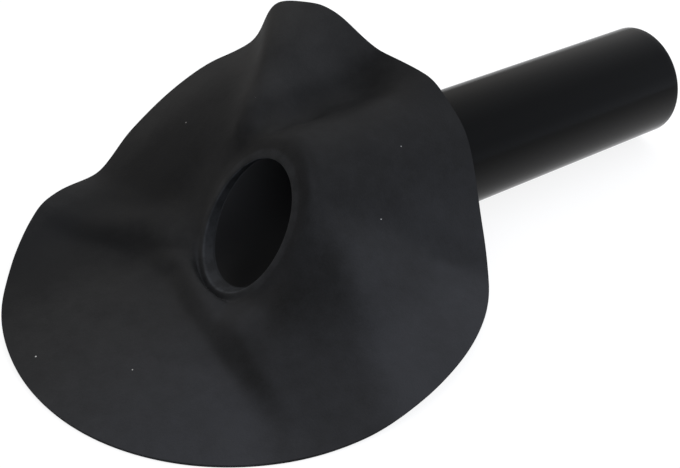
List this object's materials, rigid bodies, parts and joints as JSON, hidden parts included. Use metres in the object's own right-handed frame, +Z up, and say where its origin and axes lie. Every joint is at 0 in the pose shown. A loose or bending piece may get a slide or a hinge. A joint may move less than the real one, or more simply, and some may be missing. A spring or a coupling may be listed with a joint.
{
  "type": "roof drain outlet",
  "caption": "Roof drain outlet: a round rubber sealing sheet with a slanted neck, bonded on the slanted end of a plain drain pipe and lying as it was put down.",
  "frame": {"origin": "on the ground, under the middle of the outlet's box", "axes": "+Z up from the ground, +X along the pipe from the mouth to the square end, +Y to the left of that"},
  "size_m": [0.6676, 0.414, 0.1687],
  "materials": {
    "rubber_sheet": "matt black with a chalky bloom",
    "pipe_plastic": "satin black"
  },
  "bodies": {
    "root": {"flange": "rubber_sheet", "pipe": "pipe_plastic"}
  },
  "joints": []
}
